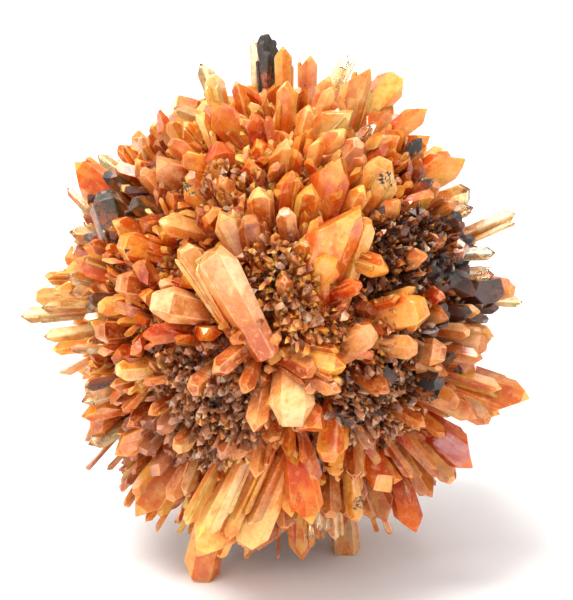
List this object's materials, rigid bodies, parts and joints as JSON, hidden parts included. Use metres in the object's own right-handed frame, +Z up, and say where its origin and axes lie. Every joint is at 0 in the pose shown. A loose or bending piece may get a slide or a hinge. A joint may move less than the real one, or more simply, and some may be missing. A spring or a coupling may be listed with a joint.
{
  "type": "creedite crystal cluster",
  "caption": "Ball of orange creedite blades that radiate from one middle and are grown together, standing on the flat ends of a few blades.",
  "frame": {"origin": "middle of the lowest side of the cluster's box, on the surface it stands on", "axes": "+Z up as it stands, the pictured side faces -Y, +X to that view's right"},
  "size_m": [0.0704, 0.0656, 0.0727],
  "materials": {
    "creedite": "glassy orange crystal, see-through at thin tips, with brown druse and smoky patches in the hollows"
  },
  "bodies": {
    "root": {"creedite_cluster": "creedite"}
  },
  "joints": []
}
